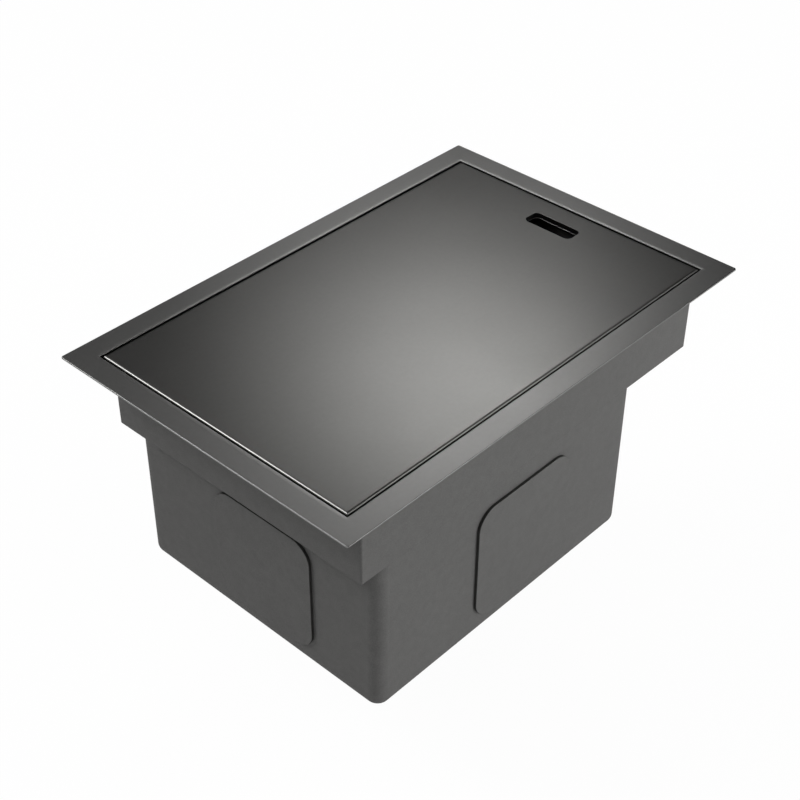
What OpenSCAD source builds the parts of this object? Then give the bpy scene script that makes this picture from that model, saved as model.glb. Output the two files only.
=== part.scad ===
// Flush bar sink with a lift-off lid, a tap well, a stepped bowl and a basket waste.
// The origin is the centre of the rim, on the plane of the worktop that the rim rests on.
// X runs along the rim's length with the tap deck at +X, and Z points up.

/* [Rim] */
// Length of the rim along X
rim_l = 450; // [430:5:520]
// Width of the rim along Y
rim_w = 300; // [285:5:360]
// Sheet thickness of the rim
rim_t = 1.5; // [1:0.1:2.5]
// Width of the flat border from the rim's edge to the lid pocket
rim_border = 20.5; // [16:0.5:26]
// Radius of the rim's outside corners
rim_corner_r = 2; // [1:0.5:12]
// Inside radius of the fold from the rim into the lid pocket
rim_fold_r = 0.3; // [0.2:0.1:1]
// Inside radius of the pocket's upright corners
pocket_corner_r = 1; // [0.5:0.1:1.8]

/* [Lid pocket and tap well] */
// Depth of the lid ledges below the rim's top
ledge_depth = 10; // [9:0.5:16]
// Width of the lid ledge at each short end
ledge_w = 12.5; // [11:0.5:20]
// Sheet thickness of the well and the bowl
sheet_t = 1.2; // [0.8:0.1:1.5]
// Depth of the tap deck below the worktop
well_depth = 68; // [45:1:100]
// Inside radius of the well's upright corners
well_corner_r = 0.5; // [0.3:0.1:1.2]
// Width of the tap deck at +X
deck_w = 72; // [55:1:90]
// Width of the narrow step at -X
step_w = 16; // [13:1:30]
// Diameter of the tap hole
tap_hole_d = 35; // [28:0.5:38]

/* [Bowl] */
// Depth of the bowl's floor at its walls, below the worktop
bowl_depth = 214; // [200:1:260]
// Inside radius of the bowl's upright corners
bowl_corner_r = 10; // [8.5:0.5:16]
// Inside radius between the bowl's walls and floor
bowl_floor_r = 8; // [3:0.5:8]
// Fall of the floor from its walls to its middle
floor_fall = 5; // [3:0.5:8]
// Depth of the waste seat below the lowest point of the fall
seat_drop = 1.5; // [1:0.1:4]
// Diameter of the waste seat
seat_d = 118; // [115:0.5:124]
// Spread of the seat's sloping side
seat_slope = 2; // [1:0.5:4]
// Width of the flat seat, from its side to the waste hole
seat_w = 14; // [13:0.5:15]

/* [Lid] */
// Gap between the lid and its pocket on every side
lid_gap = 1.5; // [1:0.1:2.5]
// Sheet thickness of the lid
lid_t = 1.2; // [0.8:0.1:1.5]
// Height of the lid's turned-down edges
lid_edge_h = 8; // [5:0.5:8.5]
// Outside radius of the lid's folds
lid_fold_r = 1.6; // [1.6:0.1:3]
// Width of the slit between two turned-down edges at a corner
corner_slit = 0.3; // [0.2:0.1:0.8]
// Length of the finger slot along Y
finger_l = 48.0; // [40:0.5:70]
// Width of the finger slot along X
finger_w = 17.5; // [15:0.5:25]
// Corner radius of the finger slot
finger_r = 6; // [3:0.5:7]
// Distance from the lid's +X edge to the middle of the slot
finger_inset = 29.5; // [25:0.5:45]
// Depth of the slot's turned-down lip below the lid's top
finger_lip_h = 5; // [3.5:0.5:7.5]
// Inside radius of the fold into the slot's lip
finger_fold_r = 0.3; // [0.2:0.1:1]
// Diameter of the lid's rubber buffers
buffer_d = 8; // [5:0.5:8.5]
// Distance from the lid's long edges to the middle of a buffer
buffer_inset = 28; // [12:1:60]

/* [Sound pads] */
// Length of a sound pad
pad_l = 106; // [60:1:110]
// Height of a sound pad
pad_h = 108; // [60:1:110]
// Thickness of a sound pad
pad_t = 2.5; // [1.5:0.1:4]
// Corner radius of a sound pad
pad_corner_r = 18; // [5:1:25]
// Distance from the underside of the tap deck to the top of a pad
pad_drop = 20; // [2:1:21]
// Shift of the front pad from the bowl's middle, along X
front_pad_shift = 15; // [-20:1:20]
// Shift of the left pad from the bowl's middle, along Y
left_pad_shift = -13; // [-20:1:20]

/* [Waste strainer] */
// Gap between the edge of the strainer's flange and the side of its seat
flange_gap = 3; // [2.5:0.5:5]
// Sheet thickness of the strainer
strainer_t = 1.2; // [0.8:0.1:1.5]
// Gap between the strainer's cup and the waste hole
cup_gap = 2; // [1.5:0.5:3]
// Depth of the cup below its flange
cup_h = 44; // [43:1:55]
// Radius between the cup's wall and floor, outside
cup_floor_r = 6; // [3:0.5:7]
// Bore of the outlet neck
outlet_d = 38; // [32:0.5:40]
// Outside diameter of the outlet neck
neck_d = 46; // [45:0.5:50]
// Length of the outlet neck
neck_h = 16; // [14:0.5:24]
// Width of the bars across the outlet
bar_w = 3; // [2:0.5:4]
// Height of the bars across the outlet
bar_h = 2.5; // [1.5:0.5:4]
// Height of those bars above the neck's end
bar_up = 3; // [1:0.5:5]
// Thickness of the gasket under the flange
flange_gasket_t = 1.2; // [0.8:0.1:2]
// Thickness of the gasket under the bowl
under_gasket_t = 3; // [2:0.5:5]
// Thickness of the friction washer
friction_washer_t = 1; // [0.5:0.1:2]
// Distance from the edge of the strainer's flange to the edge of the gaskets and the washer
gasket_inset = 2; // [1:0.5:5]
// Distance from the edge of the gaskets to the lock nut's ring
lock_nut_inset = 4; // [2:0.5:6]
// Height of the lock nut
lock_nut_h = 9; // [6:0.5:14]
// Number of lugs on the lock nut
lock_lugs = 8; // [4:1:12]
// Width of a lock nut lug
lock_lug_w = 7; // [4:0.5:12]
// Height of a lock nut lug beyond the ring
lock_lug_out = 4; // [2:0.5:6]

/* [Tailpiece] */
// Outside diameter of the tailpiece's free end
tail_d = 38; // [36:0.5:40]
// Length of the free end below the collar
tail_free_l = 30; // [20:1:60]
// Wall thickness of the tailpiece
tail_wall = 1.8; // [1.2:0.1:2.5]
// Diameter of the tailpiece's flange
tail_flange_d = 45; // [44:0.5:46]
// Thickness of the tailpiece's flange
tail_flange_t = 1.5; // [1:0.1:3]
// Length of the thicker collar under the flange
tail_collar_l = 10; // [6:0.5:16]
// Extra radius of that collar
tail_collar_rise = 0.6; // [0.4:0.1:1]
// Thickness of the washer over the flange
tail_washer_t = 2; // [1:0.1:3]
// Outside diameter of the coupling nut's ring
coupling_d = 54; // [52:1:62]
// Height of the coupling nut above its lip
coupling_h = 13; // [9:0.5:16]
// Thickness of the coupling nut's lip
coupling_lip_t = 2.5; // [1.5:0.5:4]
// Number of grip ribs on the coupling nut
coupling_ribs = 8; // [4:1:12]
// Width of a grip rib
coupling_rib_w = 4; // [2:0.5:6]
// Height of a grip rib beyond the ring
coupling_rib_out = 2.5; // [1:0.5:4]

/* [Basket] */
// Sheet thickness of the basket
basket_t = 0.8; // [0.6:0.1:1]
// Gap between the basket's rim and the strainer's cup
basket_gap = 0.8; // [0.4:0.1:1.5]
// Width of the basket's turned-out rim
basket_rim_w = 2.5; // [2:0.5:3.5]
// Height of the basket
basket_h = 27; // [20:1:28]
// Taper of the basket's wall
basket_taper = 3; // [1:0.5:5]
// Depth of the basket's rim below the strainer's flange
basket_sink = 4; // [3:0.5:6]
// Diameter of the drain holes in the basket
basket_hole_d = 4.5; // [3:0.5:5]
// Number of drain holes in the inner ring
inner_holes = 8; // [4:1:10]
// Number of drain holes in the outer ring
outer_holes = 14; // [6:1:18]
// Distance between the stem's side, the inner ring and the outer ring of holes
hole_ring_step = 9.5; // [8:0.5:11]
// Number of slots round the basket's wall
basket_slots = 16; // [8:1:20]
// Width of a slot in the basket's wall
basket_slot_w = 3; // [2:0.5:4]
// Height of a slot in the basket's wall
basket_slot_h = 12; // [6:1:14]
// Height of the solid band under the slots
basket_band_h = 5; // [2:0.5:6]
// Diameter of the basket's stem
stem_d = 6; // [5:0.5:8]
// Diameter of the lift knob
knob_d = 18; // [14:0.5:24]
// Height of the lift knob above the basket's rim
knob_h = 16; // [12:1:24]
// Thickness of the knob's head
knob_head_h = 7; // [5:0.5:9]
// Radius of the head's round edges
knob_edge_r = 2; // [1:0.5:2.5]
// Radius of the neck under the head
knob_neck_r = 4.5; // [4:0.5:6]
// Diameter of the stopper seal
seal_d = 54; // [50:0.5:60]
// Thickness of the stopper seal
seal_t = 4; // [3:0.5:5]
// Wall of the spacer tube between the stopper and the basket
spacer_wall = 2; // [1:0.5:4]
// Thickness of the stopper's backing plate
backing_t = 1.2; // [0.8:0.1:2]
// Diameter of the stopper's backing plate
backing_d = 42; // [30:1:48]
// Diameter of the stem nut under the stopper
stem_nut_d = 12; // [11:0.5:14]
// Height of the stem nut
stem_nut_h = 4; // [3:0.5:5]

/* [Hidden] */
$fn = 96;
// Running gap round threads, stems and other pieces that slip together
slip = 0.3;
// Overshoot of cutting tools
over = 1;
// Step from a nut's two faces to its lugs or grip ribs
grip_step = 0.5;
// Wall left between a nut's bore and the root of a lug or grip rib
grip_root = 2;
// Solid stretch left between a corner slit and the folds above it
slit_stop = 0.3;

// Levels
rim_top = rim_t;
ledge_top = rim_top - ledge_depth;
ledge_under = ledge_top - rim_t;
deck_top = -well_depth;
deck_under = deck_top - sheet_t;
floor_edge = -bowl_depth;
seat_top = floor_edge - floor_fall - seat_drop;
seat_under = seat_top - sheet_t;

// Plan sizes
pocket_l = rim_l - 2 * rim_border;
pocket_w = rim_w - 2 * rim_border;
well_l = pocket_l - 2 * ledge_w;
well_w = pocket_w;
bowl_l = well_l - deck_w - step_w;
bowl_w = well_w;
bowl_x = (step_w - deck_w) / 2;
bowl_x_min = bowl_x - bowl_l / 2;
bowl_x_max = bowl_x + bowl_l / 2;
tap_x = bowl_x_max + deck_w / 2;
// The deck and the step reach this far round the bowl's corners, short of a feather edge
corner_reach = bowl_corner_r * 0.8;

// Lid
lid_l = pocket_l - 2 * lid_gap;
lid_w = pocket_w - 2 * lid_gap;
lid_under = rim_top - lid_t;
finger_x = lid_l / 2 - finger_inset;
buffer_x = (well_l / 2 + lid_l / 2 - lid_t) / 2;
buffer_y = lid_w / 2 - buffer_inset;

// Sound pads
pad_z = deck_under - pad_drop - pad_h / 2;

// Waste
waste_hole_d = seat_d - 2 * seat_w;
flange_d = seat_d - 2 * flange_gap;
gasket_d = flange_d - 2 * gasket_inset;
lock_nut_d = gasket_d - 2 * lock_nut_inset;
flange_under = seat_top + flange_gasket_t;
flange_top = flange_under + strainer_t;
cup_floor = flange_top - cup_h;
neck_top = cup_floor - strainer_t;
neck_end = neck_top - neck_h;
bar_z = neck_end + bar_up;
cup_r = waste_hole_d / 2 - cup_gap;
cup_in_r = cup_r - strainer_t;
friction_z = seat_under - under_gasket_t;
lock_top = friction_z - friction_washer_t;
tail_top = neck_end - tail_washer_t;
tail_flange_under = tail_top - tail_flange_t;
tail_bore_r = tail_d / 2 - tail_wall;
collar_end = tail_flange_under - tail_collar_l;
tail_end = collar_end - tail_free_l;
collar_r = tail_d / 2 + tail_collar_rise;

// Basket
backing_under = cup_floor + seal_t;
backing_top = backing_under + backing_t;
basket_rim_r = cup_in_r - basket_gap;
basket_r = basket_rim_r - basket_rim_w;
basket_rim_top = flange_top - basket_sink;
basket_rim_under = basket_rim_top - basket_t;
basket_floor_under = basket_rim_top - basket_h;
basket_low_r = basket_r - basket_taper;
stem_r = stem_d / 2;
inner_ring_r = stem_r + hole_ring_step;
outer_ring_r = inner_ring_r + hole_ring_step;

// Rectangle with round corners, centred.
module round_rect(l, w, r) {
    square([l, w - 2 * r], center = true);
    square([l - 2 * r, w], center = true);
    for (sx = [-1, 1], sy = [-1, 1]) {
        translate([sx * (l / 2 - r), sy * (w / 2 - r)]) circle(r);
    }
}

// Quarter of a bent sheet seen end on, in the quadrant of the signs sx and sy.
module bend(r, t, sx, sy) {
    intersection() {
        difference() {
            circle(r + t);
            circle(r);
        }
        translate([sx > 0 ? 0 : -(r + t), sy > 0 ? 0 : -(r + t)]) square(r + t);
    }
}

// Ring of rectangular section about Z, from z up by h.
module ring(r_out, r_in, z, h) {
    translate([0, 0, z]) difference() {
        cylinder(h = h, r = r_out);
        translate([0, 0, -over]) cylinder(h = h + 2 * over, r = r_in);
    }
}

// One straight run of a section that stands on a line at distance off from the centre.
module side_run(run, off) {
    translate([-run / 2, off, 0]) rotate([90, 0, 90]) linear_extrude(run) children();
}

// Sweeps a section round a rectangle with an inside size and an inside corner radius.
// The section's x runs outwards from the corners' centres, and its y runs up.
module sweep_round(l, w, r) {
    for (turn = [0, 180]) {
        rotate([0, 0, turn]) side_run(l - 2 * r, w / 2 - r) children();
        rotate([0, 0, turn + 90]) side_run(w - 2 * r, l / 2 - r) children();
    }
    translate([l / 2 - r, w / 2 - r, 0]) rotate_extrude(angle = 90) children();
    translate([r - l / 2, w / 2 - r, 0]) rotate([0, 0, 90]) rotate_extrude(angle = 90) children();
    translate([r - l / 2, r - w / 2, 0]) rotate([0, 0, 180]) rotate_extrude(angle = 90) children();
    translate([l / 2 - r, r - w / 2, 0]) rotate([0, 0, 270]) rotate_extrude(angle = 90) children();
}

// Section of a sheet whose flat is turned down into an upright wall, from top to bottom.
module turned_down(r, t, fold, top, bottom) {
    translate([r, bottom]) square([t, top - t - fold - bottom]);
    translate([r + t + fold, top - t - fold]) bend(fold, t, -1, 1);
}

// Flat sheet that reaches from a turned-down edge out to the shape given as a child.
module flat_round_hole(l, w, r, t, fold, top) {
    translate([0, 0, top - t]) linear_extrude(t) difference() {
        children();
        round_rect(l + 2 * (t + fold), w + 2 * (t + fold), r + t + fold);
    }
}

// Frame that rests on the worktop: flat border, lid pocket and the two lid ledges.
module rim_frame() {
    color([0.36, 0.36, 0.35]) union() {
        flat_round_hole(pocket_l, pocket_w, pocket_corner_r, rim_t, rim_fold_r, rim_top)
            round_rect(rim_l, rim_w, rim_corner_r);
        sweep_round(pocket_l, pocket_w, pocket_corner_r)
            turned_down(pocket_corner_r, rim_t, rim_fold_r, rim_top, ledge_under);
        translate([0, 0, ledge_under]) linear_extrude(rim_t) difference() {
            round_rect(pocket_l, pocket_w, pocket_corner_r);
            square([well_l, pocket_w + 2 * over], center = true);
        }
    }
}

// Four upright walls of the tap well, below the lid pocket.
module well_walls() {
    color([0.33, 0.33, 0.32]) sweep_round(well_l, well_w, well_corner_r)
        translate([well_corner_r, deck_under]) square([sheet_t, ledge_under - deck_under]);
}

// Part of the well's floor that lies beyond x_near on the side of the sign side.
module well_floor_plan(x_near, side) {
    difference() {
        intersection() {
            round_rect(well_l, well_w, well_corner_r);
            translate([x_near + (side > 0 ? 0 : -well_l), -well_w / 2]) square([well_l, well_w]);
        }
        translate([bowl_x, 0]) round_rect(bowl_l, bowl_w, bowl_corner_r);
    }
}

// Flat deck for the tap, at +X.
module tap_deck() {
    color([0.34, 0.34, 0.33]) difference() {
        translate([0, 0, deck_under]) linear_extrude(sheet_t) well_floor_plan(bowl_x_max - corner_reach, 1);
        translate([tap_x, 0, deck_under - over]) cylinder(h = sheet_t + 2 * over, d = tap_hole_d);
    }
}

// Narrow step at -X.
module step_ledge() {
    color([0.34, 0.34, 0.33]) translate([0, 0, deck_under]) linear_extrude(sheet_t)
        well_floor_plan(bowl_x_min + corner_reach, -1);
}

// Section of the bowl's wall, its round foot and the start of its floor.
module bowl_section() {
    foot_z = floor_edge + bowl_floor_r;
    translate([bowl_corner_r, foot_z]) square([sheet_t, deck_under - foot_z]);
    translate([bowl_corner_r - bowl_floor_r, foot_z]) bend(bowl_floor_r, sheet_t, 1, -1);
    translate([0, floor_edge - sheet_t]) square([bowl_corner_r - bowl_floor_r, sheet_t]);
}

// Trough with two sloping sides: half is its half span, and drop lowers it.
module trough(half, drop, reach, run) {
    slope = floor_fall / half;
    translate([-run / 2, 0, 0]) rotate([90, 0, 90]) linear_extrude(run) polygon([
        [0, floor_edge - floor_fall - drop],
        [half + reach, floor_edge - drop + slope * reach],
        [half + reach, floor_edge + slope * reach + reach],
        [-half - reach, floor_edge + slope * reach + reach],
        [-half - reach, floor_edge - drop + slope * reach]
    ]);
}

// Space above the four sloping panels of the floor, which meet at diagonal creases.
module floor_space(drop, reach) {
    half_l = bowl_l / 2 - bowl_corner_r;
    half_w = bowl_w / 2 - bowl_corner_r;
    intersection() {
        trough(half_w, drop, reach, 2 * (half_l + reach));
        rotate([0, 0, 90]) trough(half_l, drop, reach, 2 * (half_w + reach));
    }
}

// Creased floor with its round waste seat.
module bowl_floor() {
    seat_r = seat_d / 2;
    side_h = floor_edge - seat_top;
    difference() {
        union() {
            intersection() {
                floor_space(sheet_t, 0);
                translate([0, 0, seat_under - over]) linear_extrude(floor_edge - seat_under + over)
                    square([bowl_l, bowl_w], center = true);
            }
            translate([0, 0, seat_under]) cylinder(
                h = side_h + sheet_t,
                r1 = seat_r + sheet_t,
                r2 = seat_r + sheet_t + seat_slope
            );
        }
        floor_space(0, over);
        translate([0, 0, seat_top]) cylinder(h = side_h, r1 = seat_r, r2 = seat_r + seat_slope);
        translate([0, 0, seat_under - over]) cylinder(h = side_h + sheet_t, d = waste_hole_d);
    }
}

// Bowl with round upright corners, a round foot and a floor that falls to the waste.
module bowl() {
    color([0.33, 0.33, 0.32]) translate([bowl_x, 0, 0]) union() {
        sweep_round(bowl_l, bowl_w, bowl_corner_r) bowl_section();
        bowl_floor();
    }
}

// Sound pad that stands on a wall whose outside faces -Y at distance off, shifted along it.
module sound_pad(off, shift) {
    color([0.31, 0.31, 0.3]) translate([shift, -off, pad_z]) rotate([90, 0, 0])
        linear_extrude(pad_t) round_rect(pad_l, pad_h, pad_corner_r);
}

module sound_pad_front() {
    sound_pad(bowl_w / 2 + sheet_t, bowl_x + front_pad_shift);
}

module sound_pad_back() {
    rotate([0, 0, 180]) sound_pad(bowl_w / 2 + sheet_t, -bowl_x);
}

module sound_pad_left() {
    rotate([0, 0, -90]) sound_pad(sheet_t - bowl_x_min, -left_pad_shift);
}

module sound_pad_right() {
    rotate([0, 0, 90]) sound_pad(bowl_x_max + sheet_t, 0);
}

// Outline of a folded sheet seen end on, with its top corners rounded.
module fold_outline(w, h, r) {
    translate([-w / 2, 0]) square([w, h - r]);
    translate([-w / 2 + r, 0]) square([w - 2 * r, h]);
    for (s = [-1, 1]) {
        translate([s * (w / 2 - r), h - r]) circle(r);
    }
}

// Block whose four top edges are rounded and meet in mitres.
module mitred_block(l, w, h, r) {
    intersection() {
        translate([-l / 2, 0, 0]) rotate([90, 0, 90]) linear_extrude(l) fold_outline(w, h, r);
        translate([0, w / 2, 0]) rotate([90, 0, 0]) linear_extrude(w) fold_outline(l, h, r);
    }
}

// Lid folded from one sheet, with a finger slot that has a turned-down lip.
module lid_panel() {
    lid_bottom = rim_top - lid_edge_h;
    hole_grow = 2 * (lid_t + finger_fold_r);
    color([0.35, 0.35, 0.34]) union() {
        difference() {
            translate([0, 0, lid_bottom]) mitred_block(lid_l, lid_w, lid_edge_h, lid_fold_r);
            translate([0, 0, lid_bottom - over]) mitred_block(
                lid_l - 2 * lid_t, lid_w - 2 * lid_t, lid_edge_h - lid_t + over, lid_fold_r - lid_t
            );
            translate([finger_x, 0, lid_under - over]) linear_extrude(lid_t + 2 * over)
                round_rect(finger_w + hole_grow, finger_l + hole_grow, finger_r + hole_grow / 2);
            for (sx = [-1, 1], sy = [-1, 1]) {
                translate([sx * lid_l / 2, sy * lid_w / 2, lid_bottom - over])
                    rotate([0, 0, sx * sy * 45])
                    translate([-2 * lid_t, -corner_slit / 2, 0])
                    cube([4 * lid_t, corner_slit, lid_edge_h - lid_fold_r - slit_stop + over]);
            }
        }
        translate([finger_x, 0, 0]) sweep_round(finger_w, finger_l, finger_r)
            turned_down(finger_r, lid_t, finger_fold_r, rim_top, rim_top - finger_lip_h);
    }
}

// Rubber buffer that carries one corner of the lid on its ledge.
module lid_buffer(sx, sy) {
    color([0.08, 0.08, 0.08]) translate([sx * buffer_x, sy * buffer_y, ledge_top])
        cylinder(h = lid_under - ledge_top, d = buffer_d);
}

// Section of the strainer's cup: flange, upright wall, round foot and floor.
module strainer_section() {
    foot_in_r = cup_floor_r - strainer_t;
    foot_z = neck_top + cup_floor_r;
    translate([cup_in_r, flange_under]) square([flange_d / 2 - cup_in_r, strainer_t]);
    translate([cup_in_r, foot_z]) square([strainer_t, flange_top - foot_z]);
    translate([cup_r - cup_floor_r, foot_z]) bend(foot_in_r, strainer_t, 1, -1);
    translate([outlet_d / 2, neck_top]) square([cup_r - cup_floor_r - outlet_d / 2, strainer_t]);
}

// Flanged strainer cup with the outlet in its floor.
module strainer_body() {
    color([0.5, 0.5, 0.5]) translate([bowl_x, 0, 0]) rotate_extrude() strainer_section();
}

// Threaded neck under the cup's floor.
module strainer_neck() {
    color([0.5, 0.5, 0.5]) translate([bowl_x, 0, 0])
        ring(neck_d / 2, outlet_d / 2, neck_end, neck_h);
}

// Two bars that cross the outlet inside the neck.
module outlet_cross() {
    color([0.5, 0.5, 0.5]) translate([bowl_x, 0, bar_z]) intersection() {
        union() for (turn = [0, 90]) {
            rotate([0, 0, turn]) translate([-outlet_d / 2, -bar_w / 2, 0])
                cube([outlet_d, bar_w, bar_h]);
        }
        translate([0, 0, -over]) cylinder(h = bar_h + 2 * over, d = outlet_d - slip);
    }
}

module flange_gasket() {
    color([0.06, 0.06, 0.06]) translate([bowl_x, 0, 0])
        ring(gasket_d / 2, waste_hole_d / 2, seat_top, flange_gasket_t);
}

module under_gasket() {
    color([0.06, 0.06, 0.06]) translate([bowl_x, 0, 0])
        ring(gasket_d / 2, cup_r + slip, friction_z, under_gasket_t);
}

module friction_washer() {
    color([0.55, 0.45, 0.3]) translate([bowl_x, 0, 0])
        ring(gasket_d / 2, cup_r + slip, lock_top, friction_washer_t);
}

// Lug or grip rib of a nut of height h, from the nut's bore at r_in out to r_out.
module grip(r_in, r_out, w, h) {
    root = r_in + grip_root;
    translate([root, -w / 2, grip_step]) cube([r_out - root, w, h - 2 * grip_step]);
}

// Large ring nut that pulls the strainer down on its seat, with lugs for a spanner.
module lock_nut() {
    color([0.12, 0.12, 0.12]) translate([bowl_x, 0, lock_top - lock_nut_h]) difference() {
        union() {
            cylinder(h = lock_nut_h, d = lock_nut_d);
            for (k = [0 : lock_lugs - 1]) {
                rotate([0, 0, k * 360 / lock_lugs])
                    grip(cup_r, lock_nut_d / 2 + lock_lug_out, lock_lug_w, lock_nut_h);
            }
        }
        translate([0, 0, -over]) cylinder(h = lock_nut_h + 2 * over, r = cup_r + slip);
    }
}

module tail_washer() {
    color([0.85, 0.85, 0.82]) translate([bowl_x, 0, 0])
        ring(tail_flange_d / 2, outlet_d / 2, tail_top, tail_washer_t);
}

// Slip nut whose lip draws the tailpiece's flange up against the neck.
module coupling_nut() {
    lip_z = tail_flange_under - coupling_lip_t;
    nut_h = coupling_lip_t + coupling_h;
    color([0.12, 0.12, 0.12]) translate([bowl_x, 0, lip_z]) difference() {
        union() {
            cylinder(h = nut_h, d = coupling_d);
            for (k = [0 : coupling_ribs - 1]) {
                rotate([0, 0, k * 360 / coupling_ribs])
                    grip(neck_d / 2, coupling_d / 2 + coupling_rib_out, coupling_rib_w, nut_h);
            }
        }
        translate([0, 0, coupling_lip_t]) cylinder(h = coupling_h + over, r = neck_d / 2 + slip);
        translate([0, 0, -over]) cylinder(h = nut_h, r = collar_r + slip);
    }
}

// Tube that carries the water down, with a flange and a collar at its top.
module tailpiece() {
    color([0.12, 0.12, 0.12]) translate([bowl_x, 0, 0]) rotate_extrude() union() {
        translate([tail_bore_r, tail_end]) square([tail_wall, tail_top - tail_end]);
        translate([tail_bore_r, collar_end])
            square([collar_r - tail_bore_r, tail_top - collar_end]);
        translate([tail_bore_r, tail_flange_under])
            square([tail_flange_d / 2 - tail_bore_r, tail_flange_t]);
    }
}

// Ring of drain holes through the basket's floor.
module hole_ring(r, count) {
    for (k = [0 : count - 1]) {
        rotate([0, 0, k * 360 / count]) translate([r, 0, basket_floor_under - over])
            cylinder(h = basket_t + 2 * over, d = basket_hole_d);
    }
}

// Basket that catches scraps, with a turned-out rim, slots and drain holes.
module basket_cup() {
    wall_h = basket_h - basket_t;
    over_r = over * basket_taper / wall_h;
    floor_top = basket_floor_under + basket_t;
    color([0.6, 0.6, 0.6]) translate([bowl_x, 0, 0]) difference() {
        union() {
            difference() {
                translate([0, 0, basket_floor_under])
                    cylinder(h = basket_h, r1 = basket_low_r, r2 = basket_r);
                translate([0, 0, floor_top]) cylinder(
                    h = wall_h + over, r1 = basket_low_r - basket_t, r2 = basket_r - basket_t + over_r
                );
            }
            ring(basket_rim_r, basket_r - basket_t, basket_rim_under, basket_t);
        }
        translate([0, 0, basket_floor_under - over])
            cylinder(h = basket_t + 2 * over, r = stem_r + slip / 2);
        hole_ring(inner_ring_r, inner_holes);
        hole_ring(outer_ring_r, outer_holes);
        for (k = [0 : basket_slots - 1]) {
            rotate([0, 0, k * 360 / basket_slots])
                translate([basket_low_r / 2, -basket_slot_w / 2, floor_top + basket_band_h])
                cube([basket_r, basket_slot_w, basket_slot_h]);
        }
    }
}

// Turned stem with a round lift knob.
module basket_knob() {
    knob_top = basket_rim_top + knob_h;
    head_under = knob_top - knob_head_h;
    edge_x = knob_d / 2 - knob_edge_r;
    stem_end = cup_floor - stem_nut_h;
    neck_under = basket_floor_under + basket_t;
    color([0.6, 0.6, 0.6]) translate([bowl_x, 0, 0]) rotate_extrude() union() {
        translate([0, stem_end]) square([stem_r, head_under - stem_end]);
        translate([0, neck_under]) square([knob_neck_r, head_under - neck_under]);
        translate([0, head_under]) square([edge_x, knob_head_h]);
        translate([0, head_under + knob_edge_r]) square([knob_d / 2, knob_head_h - 2 * knob_edge_r]);
        for (z = [head_under + knob_edge_r, knob_top - knob_edge_r]) {
            translate([edge_x, z]) circle(knob_edge_r);
        }
    }
}

module stem_spacer() {
    color([0.6, 0.6, 0.6]) translate([bowl_x, 0, 0])
        ring(stem_r + spacer_wall, stem_r + slip / 2, backing_top, basket_floor_under - backing_top);
}

module stopper_backing() {
    color([0.6, 0.6, 0.6]) translate([bowl_x, 0, 0])
        ring(backing_d / 2, stem_r + slip / 2, backing_under, backing_t);
}

module stopper_seal() {
    color([0.06, 0.06, 0.06]) translate([bowl_x, 0, 0])
        ring(seal_d / 2, stem_r + slip / 2, cup_floor, seal_t);
}

module stem_nut() {
    color([0.6, 0.6, 0.6]) translate([bowl_x, 0, cup_floor - stem_nut_h]) difference() {
        cylinder(h = stem_nut_h, d = stem_nut_d, $fn = 6);
        translate([0, 0, -over]) cylinder(h = stem_nut_h + 2 * over, r = stem_r + slip / 2);
    }
}

rim_frame();
well_walls();
tap_deck();
step_ledge();
bowl();
sound_pad_front();
sound_pad_back();
sound_pad_left();
sound_pad_right();
lid_panel();
lid_buffer(-1, -1);  // lid_buffer_1
lid_buffer(1, -1);  // lid_buffer_2
lid_buffer(1, 1);  // lid_buffer_3
lid_buffer(-1, 1);  // lid_buffer_4
strainer_body();
strainer_neck();
outlet_cross();
flange_gasket();
under_gasket();
friction_washer();
lock_nut();
tail_washer();
coupling_nut();
tailpiece();
basket_cup();
basket_knob();
stem_spacer();
stopper_backing();
stopper_seal();
stem_nut();
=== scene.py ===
import math

import bmesh
import bpy
from mathutils import Matrix, Quaternion, Vector


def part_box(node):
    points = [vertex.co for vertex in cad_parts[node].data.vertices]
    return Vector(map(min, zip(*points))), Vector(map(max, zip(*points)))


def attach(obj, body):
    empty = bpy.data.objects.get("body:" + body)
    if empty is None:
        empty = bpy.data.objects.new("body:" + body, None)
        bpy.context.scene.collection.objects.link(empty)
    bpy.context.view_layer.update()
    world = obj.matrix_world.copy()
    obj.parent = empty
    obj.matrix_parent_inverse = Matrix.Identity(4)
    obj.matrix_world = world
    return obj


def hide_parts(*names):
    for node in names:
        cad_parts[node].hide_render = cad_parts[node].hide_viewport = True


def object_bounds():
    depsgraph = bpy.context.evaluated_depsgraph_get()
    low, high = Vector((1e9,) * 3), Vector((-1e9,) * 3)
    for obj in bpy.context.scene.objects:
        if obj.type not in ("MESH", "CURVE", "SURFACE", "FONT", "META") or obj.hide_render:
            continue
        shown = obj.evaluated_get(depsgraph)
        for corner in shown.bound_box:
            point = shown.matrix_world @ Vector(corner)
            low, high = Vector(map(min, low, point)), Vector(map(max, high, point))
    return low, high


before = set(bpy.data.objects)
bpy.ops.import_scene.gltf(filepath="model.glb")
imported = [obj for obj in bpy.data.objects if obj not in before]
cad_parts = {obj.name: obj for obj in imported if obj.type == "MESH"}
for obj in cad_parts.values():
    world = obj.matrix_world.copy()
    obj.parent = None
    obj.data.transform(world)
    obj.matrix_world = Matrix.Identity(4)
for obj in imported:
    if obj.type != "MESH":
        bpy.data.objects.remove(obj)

bl_info = {
    "name": "Sink with lid",
    "version": (1, 0, 0),
    "blender": (4, 5, 0),
    "location": "View3D > Sidebar > Sink",
    "description": "Flush bar sink with a lift-off lid, a tap well, a stepped bowl and a basket waste",
    "category": "Object",
}

cad_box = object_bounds()

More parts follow.
